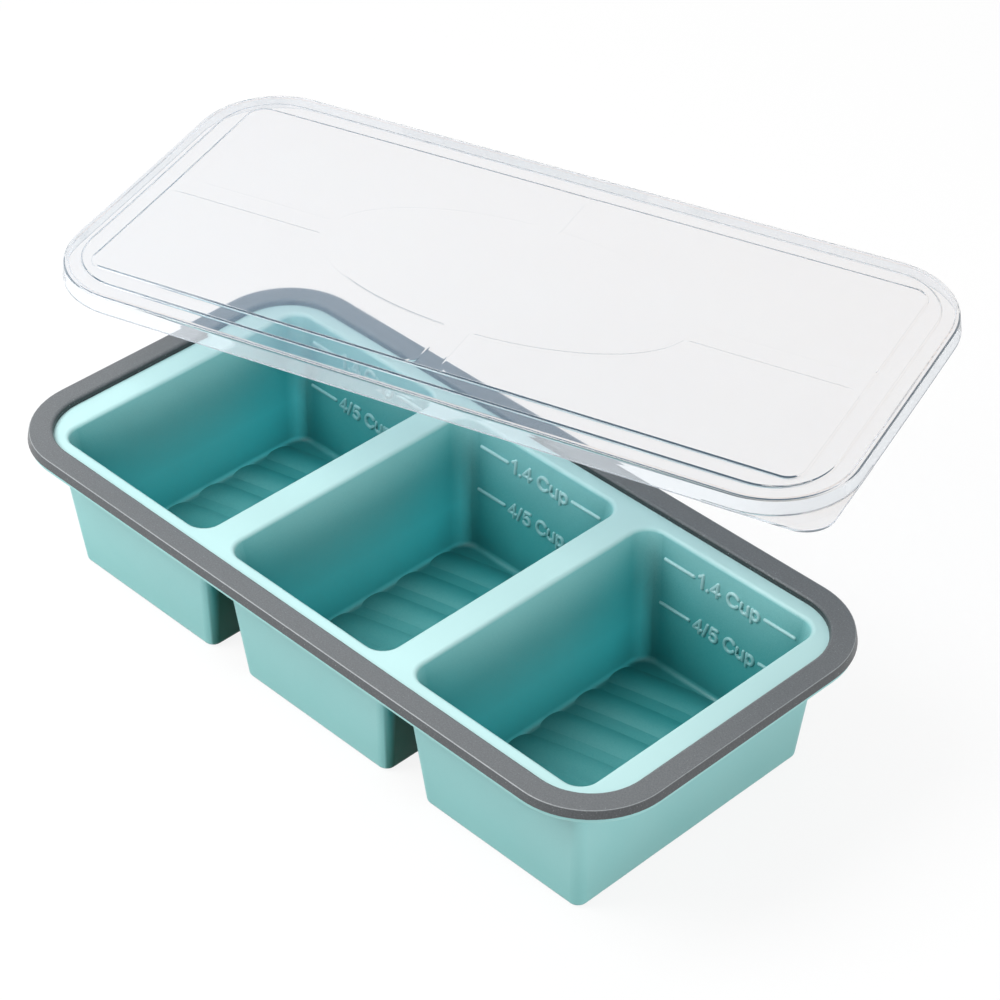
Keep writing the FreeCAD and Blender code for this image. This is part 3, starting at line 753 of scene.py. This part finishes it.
def lid_corner(inset):
    """Corner radius of the lid's outline moved inwards by an inset."""
    if inset <= 0:
        return LID_CORNERS[0][1] - inset
    for (near, wide), (far, tight) in zip(LID_CORNERS, LID_CORNERS[1:]):
        if inset <= far:
            return wide + (tight - wide) * (inset - near) / (far - near)
    return LID_CORNERS[-1][1]


def side_stops(half):
    """Places along one straight side, close together where a channel's edge crosses."""
    near = CHANNEL_HALF - SUNK_RUN
    far = CHANNEL_HALF + CHANNEL_MOUTH + SUNK_RUN
    right = [near / 2]
    right += [near + (far - near) * step / MOUTH_STEPS for step in range(MOUTH_STEPS + 1)]
    right += [far + (half - far) * step / PLAIN_STEPS for step in range(1, PLAIN_STEPS)]
    return [-place for place in reversed(right)] + [0.0] + right


def lid_loop(inset):
    """Points around the lid's outline, moved inwards by an inset, from the rear right corner."""
    half_x, half_y = LID_HALF_LENGTH - inset, LID_HALF_WIDTH - inset
    corner = lid_corner(inset)
    flat_x, flat_y = half_x - corner, half_y - corner
    points = []
    for first, (sign_x, sign_y) in zip((0, 90, 180, 270), ((1, 1), (-1, 1), (-1, -1), (1, -1))):
        for step in range(CORNER_STEPS + 1):
            angle = math.radians(first + 90 * step / CORNER_STEPS)
            points.append((sign_x * flat_x + corner * math.cos(angle),
                           sign_y * flat_y + corner * math.sin(angle)))
        if first == 0:
            points += [(-stop, half_y) for stop in side_stops(flat_x)]
        elif first == 90:
            points += [(-half_x, -stop) for stop in side_stops(flat_y)]
        elif first == 180:
            points += [(stop, -half_y) for stop in side_stops(flat_x)]
        else:
            points += [(half_x, stop) for stop in side_stops(flat_y)]
    return points


def panel_share(x, y):
    """0 in the sunken cross and oval, 1 on the panels."""
    def strip(across, from_edge):
        flare = 0.0
        if from_edge < CHANNEL_MOUTH:
            left = CHANNEL_MOUTH - max(from_edge, 0.0)
            flare = CHANNEL_MOUTH - math.sqrt(CHANNEL_MOUTH ** 2 - left ** 2)
        return abs(across) - CHANNEL_HALF - flare

    panel_edge = LID_CORNERS[-1][0]
    apart = min(strip(y, LID_HALF_LENGTH - panel_edge - abs(x)),
                strip(x, LID_HALF_WIDTH - panel_edge - abs(y)))
    reach_x, reach_y = OVAL_HALF
    level = (x / reach_x) ** 2 + (y / reach_y) ** 2 - 1
    slope = 2 * math.hypot(x / reach_x ** 2, y / reach_y ** 2)
    apart = min(apart, level / max(slope, 1.0))
    return ease(apart / SUNK_RUN + 0.5), apart


def lid_height(x, y, inset):
    """Height of the lid's upper face over a place that lies an inset inside its outline."""
    step, panel = LID_CORNERS[1][0], LID_CORNERS[2][0]
    run = step_run(x, y, inset)
    height = BAND_TOP + STEP_RISE * ease((inset - step) / run + 0.5)
    raised = ease((inset - panel) / run + 0.5)
    share, _ = panel_share(x, y)
    return height + STEP_RISE * raised - SUNK_RISE * raised * (1 - share)


def step_run(x, y, inset):
    """How wide a step's slope is: crisp along the front, softer at the left and behind."""
    corner = lid_corner(inset)
    past_x = abs(x) - (LID_HALF_LENGTH - inset - corner)
    past_y = -y - (LID_HALF_WIDTH - inset - corner)
    if past_y <= 0:
        return SOFT_RUN
    turn = math.degrees(math.atan2(past_y, max(past_x, 0.0)))
    start, spread = CRISP_TURN
    from_left = ease((x + LID_HALF_LENGTH - CRISP_FROM) / CRISP_FADE)
    return SOFT_RUN + (STEP_RUN - SOFT_RUN) * ease((turn - start) / spread) * from_left


def curved_strip(middle, run, steps=8):
    """Places across a curved strip, with a flat guard on both sides."""
    strip = [middle + run * (step / steps - 0.5) for step in range(steps + 1)]
    return [strip[0] - FACET_GUARD] + strip + [strip[-1] + FACET_GUARD]


def sunken_edges():
    """Lines along the edge of the sunken cross and oval, and on both sides of it."""
    start_x = LID_HALF_LENGTH - LID_CORNERS[-1][0] - CHANNEL_MOUTH
    start_y = LID_HALF_WIDTH - LID_CORNERS[-1][0] - CHANNEL_MOUTH
    reach_x, reach_y = OVAL_HALF
    turns = [math.pi / 2 * step / 56 for step in range(57)]
    oval = []
    for turn in turns:
        x, y = reach_x * math.cos(turn), reach_y * math.sin(turn)
        lean = Vector((x / reach_x ** 2, y / reach_y ** 2)).normalized()
        oval.append(((x, y), lean))
    run_x = [((reach_x - MM + (start_x - reach_x + MM) * step / 24, CHANNEL_HALF), Vector((0, 1)))
             for step in range(25)]
    run_y = [((CHANNEL_HALF, reach_y - MM + (start_y - reach_y + MM) * step / 12), Vector((1, 0)))
             for step in range(13)]
    for sign_x, sign_y in ((1, 1), (-1, 1), (-1, -1), (1, -1)):
        for line in (oval, run_x, run_y):
            for offset in curved_strip(0.0, SUNK_RUN):
                spots = [(sign_x * (x + lean.x * offset), sign_y * (y + lean.y * offset))
                         for (x, y), lean in line]
                yield offset, spots


def lid_rows():
    """Insets and heights up the skirt and over its edge, and then the insets of the bands."""
    rows = [(-(BAND_TOP - height) * SKIRT_LEAN, height)
            for height in (SKIRT_BASE + 0.15 * MM, -3.5 * MM, -1.5 * MM)]
    for step in range(8):
        angle = math.radians(90 * step / 7)
        height = BAND_TOP - BAND_EDGE * (1 - math.sin(angle))
        rows.append((BAND_EDGE * (1 - math.cos(angle)) - (BAND_TOP - height) * SKIRT_LEAN, height))
    bands = [BAND_EDGE + FACET_GUARD, 4 * MM]
    bands += curved_strip(LID_CORNERS[1][0], SOFT_RUN, SLOPE_STEPS) + [10.5 * MM]
    bands += curved_strip(LID_CORNERS[2][0], SOFT_RUN, SLOPE_STEPS)
    bands += [LID_CORNERS[2][0] + reach for reach in (1.5 * MM, 2.5 * MM, 3.7 * MM)]
    bands.append(LID_CORNERS[2][0] + CHANNEL_MOUTH)
    return rows, bands


def make_lid_sheet():
    """The clear lid in one closed moulding: skirt, bands, panels, cross and oval."""
    rows, bands = lid_rows()
    points, faces, count = [], [], len(lid_loop(0))

    def stitch(first, second, flip):
        for step in range(count):
            after = (step + 1) % count
            face = [first + step, first + after, second + after, second + step]
            faces.append(face[::-1] if flip else face)

    starts = []
    for sink, is_under in ((0.0, False), (LID_PLATE, True)):
        own = []
        for inset, height in rows:
            own.append(len(points))
            inwards = LID_PLATE * 0.95 if is_under else 0.0
            low = min(height, BAND_TOP - LID_PLATE) if is_under else height
            points.extend((x, y, low) for x, y in lid_loop(inset + inwards))
        for inset in bands:
            own.append(len(points))
            points.extend((x, y, lid_height(x, y, inset) - sink) for x, y in lid_loop(inset))
        for near, far in zip(own, own[1:]):
            stitch(near, far, is_under)
        starts.append(own)
    base = len(points)
    middle = rows[0][0] + LID_PLATE / 2
    points.extend((x, y, SKIRT_BASE) for x, y in lid_loop(middle))
    stitch(base, starts[0][0], False)
    stitch(starts[1][0], base, False)

    edge = lid_loop(bands[-1])
    spots = list(edge)
    half_x, half_y = LID_HALF_LENGTH - bands[-1], LID_HALF_WIDTH - bands[-1]
    lines = [(step, (step + 1) % count) for step in range(count)]
    for offset, line in sunken_edges():
        before = None
        for x, y in line:
            on_line = abs(panel_share(x, y)[1] - offset) < 0.02 * MM
            inside = abs(x) < half_x - FACET_GUARD and abs(y) < half_y - FACET_GUARD
            if on_line and inside:
                spots.append((x, y))
                if before is not None:
                    lines.append((before, len(spots) - 1))
                before = len(spots) - 1
            else:
                before = None
    columns, rows_up = int(half_x / SHEET_GRID), int(half_y / SHEET_GRID)
    border = SHEET_GRID / 2
    for row in range(-rows_up, rows_up + 1):
        for column in range(-columns, columns + 1):
            x, y = column * SHEET_GRID, row * SHEET_GRID
            inside = abs(x) < half_x - border and abs(y) < half_y - border
            if inside and abs(panel_share(x, y)[1]) > 2 * MM:
                spots.append((x, y))
    flat, _, triangles, *_ = delaunay_2d_cdt([Vector(spot) for spot in spots], lines,
                                             [list(range(count))], 1, 1e-7)
    inset = bands[-1]
    for sink, own, is_under in ((0.0, starts[0], False), (LID_PLATE, starts[1], True)):
        inner = len(points)
        points.extend((spot.x, spot.y, lid_height(spot.x, spot.y, inset) - sink)
                      for spot in flat[count:])
        for triangle in triangles:
            face = [own[-1] + corner if corner < count else inner + corner - count
                    for corner in triangle]
            faces.append(face[::-1] if is_under else face)
    return points, faces


def dish(y):
    """The lid's middle lies a little lower than its long edges."""
    return LID_DISH * (min(abs(y) / LID_HALF_WIDTH, 1.0) ** 2 - 1)


def add_tab(form):
    """The lifting tab: a thin rounded flap that squares off the skirt's front right corner."""
    spread = (BAND_TOP - SKIRT_BASE) * SKIRT_LEAN
    far_x, far_y = LID_HALF_LENGTH + spread, -(LID_HALF_WIDTH + spread)
    turn = [math.radians(270 + 90 * step / 12) for step in range(13)]
    outer = [(far_x - TAB_REACH, far_y)]
    outer += [(far_x - TAB_CORNER + TAB_CORNER * math.cos(angle),
               far_y + TAB_CORNER + TAB_CORNER * math.sin(angle)) for angle in turn]
    outer.append((far_x, far_y + TAB_REACH))
    wide = LID_CORNERS[0][1] + spread
    thin = wide - LID_PLATE / 2
    inner = [(far_x - wide + thin * math.cos(angle), far_y + wide + thin * math.sin(angle))
             for angle in turn]
    inner = [(far_x - TAB_REACH, far_y + wide - thin)] + inner
    inner.append((far_x - wide + thin, far_y + TAB_REACH))
    rings = [[[form.verts.new((x, y, height)) for x, y in side] for side in (outer, inner)]
             for height in (SKIRT_BASE, SKIRT_BASE + TAB_THICKNESS)]
    (low_out, low_in), (high_out, high_in) = rings
    for step in range(len(outer) - 1):
        form.faces.new((high_out[step], high_out[step + 1], high_in[step + 1], high_in[step]))
        form.faces.new((low_in[step], low_in[step + 1], low_out[step + 1], low_out[step]))
        form.faces.new((low_out[step], low_out[step + 1], high_out[step + 1], high_out[step]))
        form.faces.new((high_in[step], high_in[step + 1], low_in[step + 1], low_in[step]))
    for end in (0, -1):
        form.faces.new((low_out[end], high_out[end], high_in[end], low_in[end]))
    bmesh.ops.recalc_face_normals(form, faces=form.faces)


def make_lid():
    points, faces = make_lid_sheet()
    sheet = bpy.data.meshes.new("sheet")
    sheet.from_pydata(points, [], faces)
    form = bmesh.new()
    add_tab(form)
    form.from_mesh(sheet)
    bpy.data.meshes.remove(sheet)
    for point in form.verts:
        point.co.z += dish(point.co.y)
    form.transform(Matrix.Translation(LID_PLACE) @ Matrix.Rotation(LID_TURN, 4, "Z")
                   @ Matrix.Rotation(LID_TIP, 4, "X"))
    mesh = bpy.data.meshes.new("clear_lid")
    form.to_mesh(mesh)
    form.free()
    for face in mesh.polygons:
        face.use_smooth = True
    mesh.set_sharp_from_angle(angle=LID_CREASE)
    lid = bpy.data.objects.new("clear_lid", mesh)
    bpy.context.scene.collection.objects.link(lid)
    dress(lid, CLEAR)
    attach(lid, "lid")
    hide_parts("lid")


make_lid()


# --------------------------------------------------------------------- floor, lamps and camera

def seen_directly(tree, at):
    """1 for sight lines, also by gloss and through clear plastic, and 0 for lighting rays."""
    path = shader(tree, "LightPath", at)
    across, down = at
    either = math_node(tree, "MAXIMUM", (across + 200, down), path.outputs["Is Camera Ray"],
                       path.outputs["Is Glossy Ray"])
    any_of = math_node(tree, "MAXIMUM", (across + 400, down), either,
                       path.outputs["Is Transmission Ray"])
    unlit = math_node(tree, "LESS_THAN", (across + 400, down - 200),
                      path.outputs["Diffuse Depth"], 0.5)
    return math_node(tree, "MULTIPLY", (across + 600, down), any_of, unlit)


def make_floor():
    """A wide matt floor that looks white and still takes the shadow."""
    bpy.ops.mesh.primitive_plane_add(size=FLOOR_SIZE, location=(0, 0, -FLOOR_DROP))
    floor = bpy.context.object
    floor.name = "floor"
    material = bpy.data.materials.new("pale_floor")
    material.use_nodes = True
    tree = material.node_tree
    tree.nodes.clear()
    out = shader(tree, "OutputMaterial", (600, 0))
    seen = seen_directly(tree, (-900, 300))
    matt = shader(tree, "BsdfDiffuse", (0, 100))
    join(tree, blended(tree, (-200, 100), seen, FLOOR_BOUNCE, FLOOR_COLOUR), matt.inputs["Color"])
    glow = shader(tree, "Emission", (0, -100), color=WHITE, strength=1.0)
    mixed = shader(tree, "MixShader", (300, 0))
    join(tree, math_node(tree, "MULTIPLY", (0, 300), seen, FLOOR_GLOW), mixed.inputs[0])
    join(tree, matt.outputs[0], mixed.inputs[1])
    join(tree, glow.outputs[0], mixed.inputs[2])
    join(tree, mixed.outputs[0], out.inputs["Surface"])
    dress(floor, material)


def make_world():
    """A plain white sky: soft light at the ambient level, white where it is seen."""
    world = bpy.data.worlds.new("studio")
    bpy.context.scene.world = world
    world.use_nodes = True
    tree = world.node_tree
    tree.nodes.clear()
    out = shader(tree, "OutputWorld", (600, 0))
    sky = shader(tree, "Background", (300, 0), color=WHITE)
    join(tree, levelled(tree, (100, 100), seen_directly(tree, (-500, 100)), AMBIENT, 1.0),
         sky.inputs["Strength"])
    join(tree, sky.outputs[0], out.inputs["Surface"])


def towards(azimuth, elevation):
    """The direction from the object to a place around it: azimuth 0 is the front, 90 the right."""
    level = math.cos(elevation)
    return Vector((math.sin(azimuth) * level, -math.cos(azimuth) * level, math.sin(elevation)))


def add_lamp(name, azimuth, elevation, distance, size, level, in_gloss=True):
    """A round soft lamp. Its level is the share of full light on a surface that faces it."""
    lamp = bpy.data.lights.new(name, "AREA")
    lamp.shape = "DISK"
    lamp.size = size
    lamp.energy = level * LAMP_WATTS * distance ** 2
    holder = bpy.data.objects.new(name, lamp)
    back = towards(math.radians(azimuth), math.radians(elevation))
    holder.location = LAMP_AIM + back * distance
    holder.rotation_euler = (-back).to_track_quat("-Z", "Y").to_euler()
    holder.visible_glossy = in_gloss
    holder.visible_transmission = False
    bpy.context.scene.collection.objects.link(holder)


def make_camera():
    camera = bpy.data.cameras.new("camera")
    camera.lens = CAMERA_LENS
    holder = bpy.data.objects.new("camera", camera)
    back = towards(CAMERA_AZIMUTH, CAMERA_ELEVATION)
    holder.location = CAMERA_TARGET + back * CAMERA_DISTANCE
    holder.rotation_euler = (-back).to_track_quat("-Z", "Y").to_euler()
    bpy.context.scene.collection.objects.link(holder)
    bpy.context.scene.camera = holder


make_floor()
make_world()
add_lamp("front_left_lamp", azimuth=-32, elevation=50, distance=0.75, size=0.5, level=0.92)
add_lamp("rear_left_lamp", azimuth=-135, elevation=55, distance=1.3, size=0.8, level=0.2,
         in_gloss=False)
add_lamp("right_lamp", azimuth=85, elevation=8, distance=1.4, size=0.35, level=0.24,
         in_gloss=False)
make_camera()
bpy.context.scene.view_settings.view_transform = "Standard"
